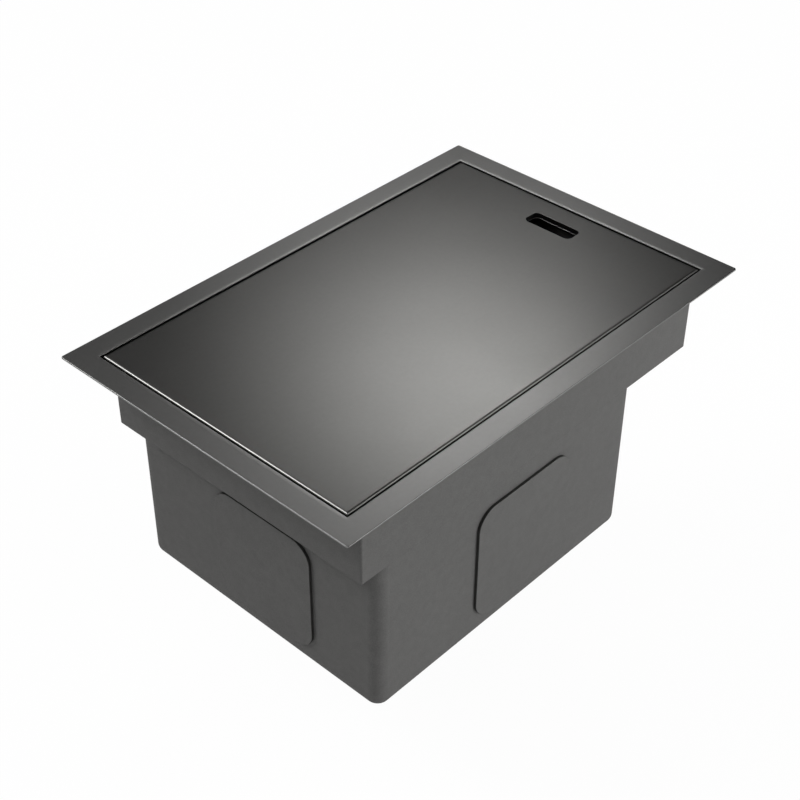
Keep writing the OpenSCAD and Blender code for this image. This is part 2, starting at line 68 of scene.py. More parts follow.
RIM_LOW, RIM_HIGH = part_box("rim_frame")
WELL_LOW, WELL_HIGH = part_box("well_walls")
BOWL_LOW, BOWL_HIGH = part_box("bowl")
LID_LOW, LID_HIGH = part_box("lid_panel")
FLANGE_LOW, FLANGE_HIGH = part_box("strainer_body")
NECK_LOW, NECK_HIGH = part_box("strainer_neck")
TAIL_LOW, TAIL_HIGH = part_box("tailpiece")
WASTE_X = (BOWL_LOW.x + BOWL_HIGH.x) / 2
QUARTER = math.pi / 2
# Points closer than this are one
SAME = 1e-6
# Slack for points that a bevel or a spin has moved
NEAR = 1e-5
# An edge longer than this along an axis runs along it
ALONG = 1e-4


# Sizes and colours

def metres(name, description, default):
    return bpy.props.FloatProperty(
        name=name, description=description, default=default, unit="LENGTH", precision=5)


def degrees(name, description, default):
    return bpy.props.FloatProperty(
        name=name, description=description, default=math.radians(default), subtype="ANGLE")


def watts(name, description, default):
    return bpy.props.FloatProperty(
        name=name, description=description, default=default, subtype="POWER")


def paint(name, description, default):
    return bpy.props.FloatVectorProperty(
        name=name, description=description, default=default, subtype="COLOR", min=0, max=1)


def spot(name, description, default):
    return bpy.props.FloatVectorProperty(
        name=name, description=description, default=default, subtype="TRANSLATION", unit="LENGTH")


class SinkSizes(bpy.types.PropertyGroup):
    rim_sheet: metres("Rim sheet", "Sheet thickness of the rim and the lid pocket", RIM_HIGH.z)
    rim_border: metres(
        "Rim border", "Width of the flat border from the rim's edge to the pocket", 0.0205)
    rim_corner: metres("Rim corner", "Radius of the rim's outside corners", 0.002)
    pocket_corner: metres("Pocket corner", "Inside radius of the pocket's upright corners", 0.001)
    pocket_fold: metres(
        "Pocket fold", "Inside radius of the fold from the rim into the pocket", 0.0003)
    pocket_lip: metres(
        "Pocket lip", "Outside radius of the ground edge at the top of the pocket", 0.0005)
    rim_roll: degrees("Rim roll", "How far the rim leans down just before the pocket", 6)
    roll_radius: metres("Roll radius", "Radius of the rim's slight roll towards the pocket", 0.028)
    sheet: metres("Bowl sheet", "Sheet thickness of the well and the bowl", 0.0012)
    well_corner: metres("Well corner", "Inside radius of the well's upright corners", 0.0005)
    bowl_corner: metres("Bowl corner", "Inside radius of the bowl's upright corners", 0.010)
    bowl_foot: metres("Bowl foot", "Inside radius between the bowl's walls and floor", 0.008)
    floor_fall: metres("Floor fall", "Fall of the bowl's floor from its walls to its middle", 0.005)
    seat_drop: metres("Seat drop", "Drop from the lowest line of the floor to the seat", 0.0015)
    seat_radius: metres("Seat radius", "Radius of the flat waste seat", 0.059)
    waste_hole: metres("Waste hole", "Radius of the waste hole", 0.045)
    tap_hole: metres("Tap hole", "Radius of the tap hole", 0.0175)
    deck_reach: metres(
        "Deck reach", "How far the deck and the step reach round the bowl's corners", 0.008)
    cut_edge: metres("Cut edge", "Rounding of sheared sheet edges", 0.00025)
    front_pad_grow: metres(
        "Front pad growth", "How much further the front sound pad reaches up and sideways", 0.0031)
    left_pad_trim: metres(
        "Left pad trim", "How much shorter the left sound pad ends towards the front", 0.0027)
    pad_corner: metres("Pad corner", "Corner radius of the sound pads", 0.018)
    pad_brim: metres("Pad brim", "Rounding of the sound pads' outer edges", 0.0005)
    weld_round: metres("Ground weld", "Rounding where welded corners were ground", 0.0008)


class LidSizes(bpy.types.PropertyGroup):
    sheet: metres("Lid sheet", "Sheet thickness of the lid", 0.0012)
    fold: metres("Lid fold", "Outside radius of the lid's folds", 0.0023)
    slot_length: metres("Slot length", "Length of the finger slot", 0.048)
    slot_width: metres("Slot width", "Width of the finger slot", 0.0175)
    slot_corner: metres("Slot corner", "Corner radius of the finger slot", 0.005)
    slot_inset: metres("Slot inset", "From the lid's edge to the middle of the slot", 0.0295)
    lip: metres("Slot lip", "Depth of the slot's turned-down lip below the lid's top", 0.005)
    lip_bead: metres("Lip bead", "How far the lower edge of the slot's lip turns inwards", 0.00023)
    lip_fold: metres("Lip edge", "Rounding of the slot's and the lid's cut edges", 0.0003)
    border: metres(
        "Lid border", "Strip of the lid's top that is made with its folds, outside the slot", 0.008)
    slit: metres("Corner slit", "Half width of the slit between two turned-down edges", 0.0003)


class WasteSizes(bpy.types.PropertyGroup):
    cup_inside: metres("Strainer inside", "Inside radius of the strainer", 0.0418)
    cup_foot: metres("Strainer foot", "Outside radius between the strainer's wall and floor", 0.006)
    outlet: metres("Outlet", "Inside radius of the strainer's outlet and its neck", 0.019)
    thread_pitch: metres("Thread pitch", "From one thread of the neck to the next", 0.0016)
    thread_depth: metres("Thread depth", "Depth of the neck's threads", 0.0005)
    lock_bore: metres("Lock nut bore", "Inside radius of the lock nut", 0.0433)
    lock_ring: metres("Lock nut ring", "Outside radius of the lock nut without its lugs", 0.050)
    coupling_bore: metres("Coupling bore", "Inside radius of the coupling nut", 0.0233)
    coupling_lip: metres("Coupling lip", "Inside radius of the coupling nut's lip", 0.0199)
    coupling_ring: metres(
        "Coupling ring", "Outside radius of the coupling nut without its ribs", 0.027)
    nut_round: metres("Nut rounding", "Rounding of the nuts' edges", 0.0006)
    lug_round: metres("Lug rounding", "Rounding of the outside of lugs and ribs", 0.0009)
    tail_bore: metres("Tail bore", "Inside radius of the tailpiece", 0.0172)
    tail_tube: metres("Tail tube", "Outside radius of the tailpiece where the trap goes on", 0.019)
    tail_collar: metres("Tail collar", "Outside radius of the tailpiece above the trap", 0.0196)
    tail_reach: metres("Tail reach", "Length of the tailpiece that the trap covers", 0.030)


class SinkFinishes(bpy.types.PropertyGroup):
    satin: paint("Satin coat", "Coated sheet of the lid", (0.122, 0.121, 0.117))
    inside: paint(
        "Inside coat", "Coated sheet inside the well and the bowl, and of the waste",
        (0.175, 0.173, 0.168))
    brushed: paint(
        "Rim coat", "Coated sheet of the rim, a little rougher than the lid", (0.182, 0.181, 0.177))
    edge: paint("Ground edge", "Ground outside edge of the rim", (0.19, 0.19, 0.186))
    sprayed: paint(
        "Sprayed outside", "Sprayed coat outside the well and the bowl", (0.106, 0.105, 0.103))
    # Darker copy of the sprayed coat for the pads' sides: painted shade
    shaded_pad_side: paint(
        "Pad side", "Painted shade at the sides of the sound pads", (0.045, 0.045, 0.043))
    rubber: paint("Rubber", "Seals, gaskets and buffers", (0.016, 0.016, 0.016))
    plastic: paint("Black plastic", "Nuts and tailpiece", (0.021, 0.021, 0.022))
    washer: paint("White washer", "Washer over the tailpiece", (0.72, 0.71, 0.67))
    fibre: paint("Fibre washer", "Friction washer over the lock nut", (0.33, 0.22, 0.12))


class StageSettings(bpy.types.PropertyGroup):
    lens: bpy.props.FloatProperty(
        name="Lens", description="Focal length on a 36 mm sensor, in millimetres", default=69.359)
    camera_place: spot("Camera place", "Where the camera stands", (-0.73272, -0.66309, 0.68446))
    camera_turn: bpy.props.FloatVectorProperty(
        name="Camera turn", description="Turn of the camera about X, Y and Z",
        default=(math.radians(52.0317), math.radians(-0.3446), math.radians(-47.0398)),
        subtype="EULER")
    glow_lower: bpy.props.FloatVectorProperty(
        name="Glow, lower row", description="Powers of the lower soft panels that the lid mirrors",
        default=(0.0, 0.039, 0.315, 0.28, 0.171), size=5)
    glow_upper: bpy.props.FloatVectorProperty(
        name="Glow, upper row", description="Powers of the upper soft panels that the lid mirrors",
        default=(0.145, 0.679, 0.512, 0.186, 0.0), size=5)
    glow_panel: bpy.props.FloatVectorProperty(
        name="Glow panel", description="Width and height of one soft panel that the lid mirrors",
        default=(0.14, 0.12), size=2, unit="LENGTH")
    glow_place: spot(
        "Glow place", "Middle of the soft panels that the lid mirrors", (0.834, 0.683, 0.89))
    glow_tilt: degrees("Glow tilt", "Turn of the soft panels about their middle", 9)
    left_power: watts("Left power", "Power of the soft light at the left", 128.0)
    right_power: watts("Right power", "Power of the soft light at the right", 27.0)
    front_power: watts("Front power", "Power of the low soft light on the front wall", 31.0)
    key_power: watts("Key power", "Power of the wide soft light from above", 6.0)
    room_light: bpy.props.FloatProperty(
        name="Room light", description="Strength of the even light from above", default=0.70)
    room_lean: bpy.props.FloatVectorProperty(
        name="Room lean", description="How the even light grows along X, Y and Z",
        default=(-1.39, 0.3, 0.0))
    horizon: bpy.props.FloatProperty(
        name="Horizon", description="Strength of the room's light just above the horizon", default=0.01)


# Shaping helpers

def only_verts(geom):
    return [g for g in geom if isinstance(g, bmesh.types.BMVert)]


def only_edges(geom):
    return [g for g in geom if isinstance(g, bmesh.types.BMEdge)]


def chain(bm, points, closed=False):
    """A line of edges through points."""
    verts = [bm.verts.new(p) for p in points]
    pairs = list(zip(verts, verts[1:])) + ([(verts[-1], verts[0])] if closed else [])
    return verts, [bm.edges.new(p) for p in pairs]


def arc_points(x, z, radius, start, end, steps):
    """Points of an arc in a section, from start to end degrees."""
    return [
        (x + radius * math.cos(math.radians(start + (end - start) * k / steps)),
         z + radius * math.sin(math.radians(start + (end - start) * k / steps)))
        for k in range(steps + 1)
    ]


def plan_arc(bm, x, y, z, radius, start, sweep, steps):
    """Verts of an arc in plan, in order, spun from one point."""
    first = bm.verts.new((x + radius * math.cos(start), y + radius * math.sin(start), z))
    known = set(bm.verts)
    bmesh.ops.spin(bm, geom=[first], cent=(x, y, z), axis=(0, 0, 1), dvec=(0, 0, 0),
                   angle=sweep, steps=steps, use_merge=False, use_duplicate=False)
    return [first] + [v for v in bm.verts if v not in known]


def walk_round(bm, section, length, width, radius, steps=10, closed=False, at=0.0):
    """Carries a section round a rectangle with round corners: straight runs and spun corners.
    The section's first number runs outwards from the corners' centres."""
    half_l, half_w = length / 2 - radius, width / 2 - radius
    _, ring = chain(bm, [(at + half_l + out, -half_w, z) for out, z in section], closed)
    for run, centre in (
        ((0, 2 * half_w, 0), (half_l, half_w)),
        ((-2 * half_l, 0, 0), (-half_l, half_w)),
        ((0, -2 * half_w, 0), (-half_l, -half_w)),
        ((2 * half_l, 0, 0), (half_l, -half_w)),
    ):
        pulled = bmesh.ops.extrude_edge_only(bm, edges=ring)["geom"]
        verts = only_verts(pulled)
        bmesh.ops.translate(bm, verts=verts, vec=run)
        ring = [e for e in only_edges(pulled) if set(e.verts) <= set(verts)]
        last = bmesh.ops.spin(
            bm, geom=verts + ring, cent=(at + centre[0], centre[1], 0), axis=(0, 0, 1),
            dvec=(0, 0, 0), angle=QUARTER, steps=steps, use_merge=False, use_duplicate=False,
        )["geom_last"]
        ring = only_edges(last)
    bmesh.ops.remove_doubles(bm, verts=bm.verts, dist=SAME)


def turned(bm, profile, x=WASTE_X, y=0.0, steps=72, closed=True):
    """Turns a profile of radius and height about an upright axis."""
    verts, edges = chain(bm, [(x + r, y, z) for r, z in profile], closed)
    bmesh.ops.spin(bm, geom=verts + edges, cent=(x, y, 0), axis=(0, 0, 1), dvec=(0, 0, 0),
                   angle=2 * math.pi, steps=steps, use_merge=True, use_duplicate=False)
    bmesh.ops.remove_doubles(bm, verts=bm.verts, dist=SAME)


def block(bm, low, high):
    """A closed box between two corners."""
    made = bmesh.ops.create_cube(bm, size=1.0)["verts"]
    size = Vector(high) - Vector(low)
    bmesh.ops.scale(bm, vec=size, verts=made)
    bmesh.ops.translate(bm, vec=(Vector(low) + Vector(high)) / 2, verts=made)
    return made


def bearing(vert):
    """Direction of a vert from the waste's axis, in plan."""
    return math.atan2(vert.co.y, vert.co.x - WASTE_X)


def open_edges(bm, test):
    """Edges with one face or none whose two ends pass the test."""
    return [e for e in bm.edges if len(e.link_faces) < 2 and all(test(v.co) for v in e.verts)]


def soften(bm, edges, width, segments=2):
    """Rounds some edges."""
    bmesh.ops.bevel(bm, geom=edges, offset=width, offset_type="OFFSET", segments=segments,
                    profile=0.5, affect="EDGES", clamp_overlap=True, material=-1)


def corner_edges(bm, degrees=30.0):
    """Edges where two faces meet at a clear angle."""
    return [e for e in bm.edges
            if len(e.link_faces) == 2 and e.calc_face_angle(0.0) > math.radians(degrees)]


def finish_piece(bm, name, body, materials, stands_for=(), sharp=24.0,
                 thickness=None, outside=0, edge_round=None, weigh=True):
    """Turns a bmesh into a piece of the sink: shading, sheet thickness, rounded edges, its body."""
    mesh = bpy.data.meshes.new(name)
    bm.to_mesh(mesh)
    bm.free()
    for material in materials:
        mesh.materials.append(material)
    mesh.polygons.foreach_set("use_smooth", [True] * len(mesh.polygons))
    mesh.set_sharp_from_angle(angle=math.radians(sharp))
    piece = bpy.data.objects.new(name, mesh)
    bpy.context.scene.collection.objects.link(piece)
    if thickness:
        skin = piece.modifiers.new("Sheet", "SOLIDIFY")
        skin.thickness, skin.offset, skin.use_even_offset = thickness, -1.0, True
        skin.use_quality_normals = True
        skin.material_offset = skin.material_offset_rim = outside
    if edge_round:
        edge = piece.modifiers.new("Edges", "BEVEL")
        edge.width, edge.segments, edge.limit_method = edge_round, 2, "ANGLE"
        edge.angle_limit = math.radians(42)
        edge.miter_outer = "MITER_ARC"
    if weigh:
        flat = piece.modifiers.new("Flats", "WEIGHTED_NORMAL")
        flat.keep_sharp, flat.weight = True, 100
    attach(piece, body)
    if stands_for:
        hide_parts(*stands_for)
    return piece


# Finishes

class Flow:
    """A value on its way through the nodes, which plain arithmetic turns into Math nodes."""

    def __init__(self, nodes, socket):
        self.nodes, self.socket = nodes, socket

    def _maths(self, operation, *values):
        return self.nodes.add("ShaderNodeMath", {"operation": operation}, dict(enumerate(values)))

    def __add__(self, other):
        return self._maths("ADD", self, other)

    def __radd__(self, other):
        return self._maths("ADD", other, self)

    def __sub__(self, other):
        return self._maths("SUBTRACT", self, other)

    def __rsub__(self, other):
        return self._maths("SUBTRACT", other, self)

    def __mul__(self, other):
        return self._maths("MULTIPLY", self, other)

    def __rmul__(self, other):
        return self._maths("MULTIPLY", other, self)

    def at_most(self, other):
        return self._maths("MINIMUM", self, other)

    def at_least(self, other):
        return self._maths("MAXIMUM", self, other)


class Nodes:
    """A tree of nodes that is filled from code."""

    def __init__(self, tree):
        self.tree = tree
        tree.nodes.clear()

    def add(self, kind, settings=None, inputs=None, out=0):
        """A node with its settings and the values or links of its sockets; gives one output."""
        node = self.tree.nodes.new(kind)
        for key, value in (settings or {}).items():
            setattr(node, key, value)
        for key, value in (inputs or {}).items():
            if isinstance(value, Flow):
                self.tree.links.new(value.socket, node.inputs[key])
            else:
                node.inputs[key].default_value = value
        return Flow(self, node.outputs[out]) if node.outputs else None


class Finish(Nodes):
    """A material put together from nodes that read the piece's own place."""

    def __init__(self, name):
        self.material = bpy.data.materials.new(name)
        self.material.use_nodes = True
        super().__init__(self.material.node_tree)
        self.place = self.add("ShaderNodeTexCoord", out="Object")

    def stretched(self, scale):
        """The piece's place, scaled along its axes."""
        return self.add("ShaderNodeMapping", {}, {"Vector": self.place, "Scale": scale})

    def noise(self, scale=1.0, detail=2.0, rough=0.5, where=None):
        """Smooth noise about 0.5; scale counts its features in a metre."""
        return self.add("ShaderNodeTexNoise", {}, {
            "Vector": where or self.place, "Scale": scale, "Detail": detail, "Roughness": rough},
            out="Fac")

    def mix(self, amount, first, second):
        """A colour between two colours."""
        return self.add("ShaderNodeMix", {"data_type": "RGBA"}, {
            0: amount, 6: (*first, 1.0), 7: (*second, 1.0)}, out=2)

    def bump(self, height, strength, depth, below=None):
        """A raised skin, on top of another one where that is given."""
        given = {"Height": height, "Strength": strength, "Distance": depth}
        if below is not None:
            given["Normal"] = below
        return self.add("ShaderNodeBump", {}, given)

    def surface(self, sockets):
        """The material, from the values or links of the Principled shader's sockets."""
        self.add("ShaderNodeOutputMaterial", {}, {
            "Surface": self.add("ShaderNodeBsdfPrincipled", {}, sockets)})
        return self.material


def scaled(colour, by):
    return tuple(min(1.0, c * by) for c in colour)


def satin_sheet(name, colour, along, rough=0.30, metal=1.0):
    """Coated stainless with a fine brushed grain along one axis."""
    f = Finish(name)
    stretch = {"X": (14.0, 2600.0, 2600.0), "Y": (2600.0, 14.0, 2600.0), "Z": (2600.0, 2600.0, 14.0)}
    grain = f.noise(1.0, 3.0, 0.6, f.stretched(stretch[along]))
    broad = f.noise(9.0, 2.0, 0.5)
    fine = f.noise(300.0, 3.0, 0.5)
    shade = f.mix((grain * 0.45 + broad * 0.3 + fine * 0.5 - 0.625) * 1.2 + 0.5,
                  scaled(colour, 0.91), scaled(colour, 1.09))
    gloss = (grain - 0.5) * 0.10 + (broad - 0.5) * 0.05 + rough
    lined = f.bump(grain, 0.10, 0.00002)
    return f.surface({"Metallic": metal, "Specular IOR Level": 0.5,
                      "Base Color": shade, "Roughness": gloss, "Normal": lined})


def sprayed_sheet(name, colour):
    """Sprayed satin coat with a fine pebbled skin over the bare outside of the sheet."""
    f = Finish(name)
    pebble = f.noise(1050.0, 3.0, 0.65)
    drift = f.noise(14.0, 4.0, 0.55)
    blotch = f.noise(130.0, 3.0, 0.5)
    shade = f.mix(drift * 0.2 + pebble * 1.1 + blotch * 0.4 - 0.35,
                  scaled(colour, 0.68), scaled(colour, 1.32))
    gloss = (pebble - 0.5) * 0.18 + (drift - 0.5) * 0.08 + 0.52
    skin = f.bump(pebble, 0.30, 0.00012, f.bump(drift, 0.12, 0.0006))
    return f.surface({"Metallic": 0.3, "Specular IOR Level": 0.1,
                      "Specular Tint": (0.15, 0.15, 0.15, 1.0),
                      "Base Color": shade, "Roughness": gloss, "Normal": skin})


def cut_steel(name, colour):
    """Sheared edge of the sheet under its coat."""
    f = Finish(name)
    tear = f.noise(1900.0, 2.0, 0.6)
    shade = f.mix(tear, scaled(colour, 0.85), scaled(colour, 1.15))
    return f.surface({"Metallic": 1.0, "Base Color": shade, "Roughness": tear * 0.2 + 0.28,
                      "Normal": f.bump(tear, 0.2, 0.00003)})


def moulded_rubber(name, colour):
    """Matt rubber with a dusty, slightly uneven skin."""
    f = Finish(name)
    skin = f.noise(1400.0, 3.0, 0.6)
    dust = f.noise(60.0, 3.0, 0.55)
    shade = f.mix(dust * 0.7 + skin * 0.3, scaled(colour, 0.8), scaled(colour, 1.35))
    return f.surface({"Specular IOR Level": 0.4, "Base Color": shade,
                      "Roughness": (skin - 0.5) * 0.15 + 0.72,
                      "Normal": f.bump(skin, 0.3, 0.00008)})


def moulded_plastic(name, colour, rough=0.42):
    """Moulded plastic with a fine spark-eroded skin and faint flow marks."""
    f = Finish(name)
    spark = f.noise(3200.0, 2.0, 0.5)
    flow = f.noise(1.0, 3.0, 0.5, f.stretched((30.0, 30.0, 160.0)))
    shade = f.mix(flow * 0.6 + spark * 0.4, scaled(colour, 0.88), scaled(colour, 1.14))
    return f.surface({"Specular IOR Level": 0.5, "Base Color": shade,
                      "Roughness": (spark - 0.5) * 0.2 + (flow - 0.5) * 0.06 + rough,
                      "Normal": f.bump(spark, 0.25, 0.00004)})


def pressed_fibre(name, colour):
    """Pressed fibre with short strands."""
    f = Finish(name)
    strand = f.noise(1.0, 4.0, 0.7, f.stretched((900.0, 260.0, 900.0)))
    patch = f.noise(150.0, 2.0, 0.5)
    shade = f.mix(strand * 0.7 + patch * 0.3, scaled(colour, 0.7), scaled(colour, 1.3))
    return f.surface({"Specular IOR Level": 0.25, "Base Color": shade,
                      "Roughness": strand * 0.2 + 0.7, "Normal": f.bump(strand, 0.5, 0.0001)})


FINISHES = {}


def finish(name):
    """The finish of that name, made the first time it is asked for."""
    if name not in FINISHES:
        look = bpy.context.scene.sink_finishes
        FINISHES[name] = {
            "satin_x": lambda: satin_sheet("satin_x", look.satin, "X", 0.306),
            "rim_coat": lambda: satin_sheet("rim_coat", look.brushed, "X", 0.37),
            "rim_edge": lambda: cut_steel("rim_edge", look.edge),
            # Darker copy of the ground edge for the rim's front and back edges: painted shade
            "shaded_long_edge": lambda: cut_steel("shaded_long_edge", scaled(look.edge, 0.6)),
            # Darker copy of the lid's coat for the pocket's walls and ledges: painted shade in the gap
            # round the lid
            "pocket_painted_shade": lambda: satin_sheet("pocket_painted_shade", scaled(look.satin, 0.8), "X", 0.36),
            # Much darker copy of the lid's coat for its turned-down sides: painted shade in the gap
            "lid_side_painted_shade": lambda: satin_sheet("lid_side_painted_shade", scaled(look.satin, 0.35), "X", 0.36),
            "satin_y": lambda: satin_sheet("satin_y", look.inside, "Y", 0.30, 0.85),
            "satin_z": lambda: satin_sheet("satin_z", look.inside, "Z", 0.34, 0.85),
            "sprayed": lambda: sprayed_sheet("sprayed", look.sprayed),
            "cut_edge": lambda: cut_steel("cut_edge", scaled(look.satin, 1.1)),
            # The pads' sides: the sprayed coat made darker, painted shade
            "shaded_pad_side": lambda: sprayed_sheet("shaded_pad_side", look.shaded_pad_side),
            "rubber": lambda: moulded_rubber("rubber", look.rubber),
            "plastic": lambda: moulded_plastic("plastic", look.plastic),
            "washer": lambda: moulded_plastic("washer", look.washer, 0.5),
            "fibre": lambda: pressed_fibre("fibre", look.fibre),
        }[name]()
    return FINISHES[name]


def paint_node(node, name):
    """Gives a carried-over CAD node its finish."""
    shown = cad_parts[node]
    shown.data.materials.clear()
    shown.data.materials.append(finish(name))


# The sheet metal

class SINK_OT_rim(bpy.types.Operator):
    """Flat rim with its lid pocket and the two lid ledges"""
    bl_idname = "sink.rim"
    bl_label = "Rim and lid pocket"

    def execute(self, context):
        s = context.scene.sink_sizes
        length, width = RIM_HIGH.x - RIM_LOW.x, RIM_HIGH.y - RIM_LOW.y
        top, bottom, t, c = RIM_HIGH.z, RIM_LOW.z, s.rim_sheet, s.cut_edge
        pocket_l, pocket_w = length - 2 * s.rim_border, width - 2 * s.rim_border
        bm = bmesh.new()
        r, strip = s.rim_corner, 0.002
        walk_round(bm, [(r - strip, top - t), (r - c, top - t), (r, top - t + c)]
                   + arc_points(r - 2 * c, top - 2 * c, 2 * c, 0, 90, 4) + [(r - strip, top)],
                   length, width, r, 12)
        r, lip, roll, lean = s.pocket_corner, s.pocket_lip, s.roll_radius, math.degrees(s.rim_roll)
        bend = t + s.pocket_fold
        start = lip * (1 - math.sin(s.rim_roll)) + roll * math.sin(s.rim_roll)
        lip_z = top - roll * (1 - math.cos(s.rim_roll)) - lip * math.cos(s.rim_roll)
        walk_round(bm, arc_points(r + start, top - roll, roll, 90, 90 + lean, 6)
                   + arc_points(r + lip, lip_z, lip, 90 + lean, 180, 6)[1:]
                   + [(r, bottom), (r + t, bottom)]
                   + arc_points(r + bend, top - bend, s.pocket_fold, 180, 90, 3),
                   pocket_l, pocket_w, r, 12)
        for level in (top, top - t):
            flat = open_edges(bm, lambda p: abs(p.z - level) < SAME)
            inner = [e for e in flat if all(
                abs(v.co.x) < pocket_l / 2 + start + SAME
                and abs(v.co.y) < pocket_w / 2 + start + SAME for v in e.verts)]
            outer = [e for e in flat if e not in set(inner)]
            bmesh.ops.bridge_loops(bm, edges=inner + outer)
        self.ledges(bm, WELL_HIGH.x - s.sheet, pocket_l / 2, pocket_w / 2, bottom, t, s.weld_round)
        bmesh.ops.recalc_face_normals(bm, faces=bm.faces)
        for face in bm.faces:
            middle = face.calc_center_median()
            if abs(middle.x) > length / 2 - 3 * c:
                face.material_index = 2
            # The front and back edges take the darker copy of the ground edge, painted shade
            elif abs(middle.y) > width / 2 - 3 * c:
                face.material_index = 3
            # The pocket's walls and ledges take the darker coat, painted shade in the gap
            elif abs(middle.x) < pocket_l / 2 + ALONG and abs(middle.y) < pocket_w / 2 + ALONG:
                face.material_index = 1
        coats = [finish(name) for name in ("rim_coat", "pocket_painted_shade", "rim_edge", "shaded_long_edge")]
        finish_piece(bm, "rim_sheet", "sink", coats, ["rim_frame"])
        return {"FINISHED"}

    def ledges(self, bm, near, far, half_w, bottom, t, rounding):
        """The two flat ledges at the pocket's ends, rounded where they meet the well."""
        corners = set()
        for side in (-1, 1):
            ends = sorted((side * near, side * far))
            made = block(bm, (ends[0], -half_w, bottom), (ends[1], half_w, bottom + t))
            corners |= {e for v in made for e in v.link_edges
                        if all(abs(abs(w.co.x) - near) < SAME and w.co.z > bottom + t / 2
                               for w in e.verts)}
        soften(bm, list(corners), rounding, 3)


class SINK_OT_well(bpy.types.Operator):
    """Upright walls of the tap well"""
    bl_idname = "sink.well"
    bl_label = "Well walls"

    def execute(self, context):
        s = context.scene.sink_sizes
        t, r = s.sheet, s.well_corner
        length, width = WELL_HIGH.x - WELL_LOW.x - 2 * t, WELL_HIGH.y - WELL_LOW.y - 2 * t
        bm = bmesh.new()
        walk_round(bm, [(r, WELL_HIGH.z), (r + t, WELL_HIGH.z), (r + t, WELL_LOW.z), (r, WELL_LOW.z)],
                   length, width, r, 6, closed=True)
        ends = (BOWL_LOW.x + s.bowl_corner + s.sheet, BOWL_HIGH.x - s.bowl_corner - s.sheet)
        for x in ends:
            bmesh.ops.bisect_plane(bm, geom=bm.verts[:] + bm.edges[:] + bm.faces[:],
                                   plane_co=(x, 0, 0), plane_no=(1, 0, 0))
        foot = [e for e in bm.edges if all(
            abs(v.co.z - WELL_LOW.z) < SAME
            and (v.co.x < ends[0] + SAME or v.co.x > ends[1] - SAME)
            and (abs(v.co.y) > width / 2 + t * 0.5 or abs(v.co.x) > length / 2 + t * 0.5)
            for v in e.verts)]
        soften(bm, foot, s.weld_round, 4)
        bmesh.ops.recalc_face_normals(bm, faces=bm.faces)
        for face in bm.faces:
            middle = face.calc_center_median()
            outward = face.normal.x * middle.x + face.normal.y * middle.y
            face.material_index = 1 if outward > 0 or face.normal.z < -0.5 else 0
        finish_piece(bm, "well_sheet", "sink", [finish("satin_z"), finish("sprayed")],
                     ["well_walls"])
        return {"FINISHED"}


class SINK_OT_decks(bpy.types.Operator):
    """Flat tap deck and the narrow step at the other end"""
    bl_idname = "sink.decks"
    bl_label = "Tap deck and step"

    def execute(self, context):
        s = context.scene.sink_sizes
        tap_x = (BOWL_HIGH.x + WELL_HIGH.x) / 2 - s.sheet
        for side, name, node in ((1, "deck_sheet", "tap_deck"), (-1, "step_sheet", "step_ledge")):
            low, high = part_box(node)
            centre_x = (BOWL_HIGH.x if side > 0 else BOWL_LOW.x) - side * (s.sheet + s.bowl_corner)
            centre_y = BOWL_HIGH.y - s.sheet - s.bowl_corner
            far = high.x if side > 0 else low.x
            near = centre_x + side * (s.bowl_corner - s.deck_reach)
            lean = math.acos((s.bowl_corner - s.deck_reach) / s.bowl_corner)
            bm = bmesh.new()
            ends = []
            for up in (1, -1):
                start = 0.0 if side > 0 else math.pi
                verts = plan_arc(bm, centre_x, up * centre_y, high.z, s.bowl_corner,
                                 start, side * up * lean, 10)
                corner, _ = chain(bm, [(near, up * high.y, high.z), (far, up * high.y, high.z)])
                bm.edges.new((verts[-1], corner[0]))
                ends.append((verts[0], corner[1]))
            for one, other in zip(*ends):
                bm.edges.new((one, other))
            if side > 0:
                ring = bmesh.ops.create_circle(bm, cap_ends=False, radius=s.tap_hole, segments=72)
                bmesh.ops.translate(bm, verts=ring["verts"], vec=(tap_x, 0, high.z))
            bmesh.ops.triangle_fill(bm, edges=bm.edges[:], use_beauty=True, use_dissolve=False)
            bmesh.ops.dissolve_limit(bm, angle_limit=math.radians(1), verts=bm.verts[:],
                                     edges=bm.edges[:])
            down = bmesh.ops.extrude_face_region(bm, geom=bm.faces[:])["geom"]
            bmesh.ops.translate(bm, verts=only_verts(down), vec=(0, 0, low.z - high.z))
            bmesh.ops.recalc_face_normals(bm, faces=bm.faces)
            lip = [e for e in bm.edges if all(abs(v.co.z - high.z) < SAME for v in e.verts)
                   and len(e.link_faces) == 2 and e.calc_face_angle(0.0) > 1.0
                   and (abs(e.verts[0].co.x - e.verts[1].co.x) > NEAR
                        or abs(abs(e.verts[0].co.x) - abs(far)) > NEAR)
                   and abs(e.verts[0].co.y) < high.y - NEAR]
            soften(bm, lip, s.weld_round * 0.75, 3)
            bmesh.ops.remove_doubles(bm, verts=bm.verts[:], dist=NEAR)
            for face in bm.faces:
                face.material_index = 1 if face.normal.z < -0.5 else 0
            finish_piece(bm, name, "sink", [finish("satin_y"), finish("sprayed")],
                         [node])
        return {"FINISHED"}


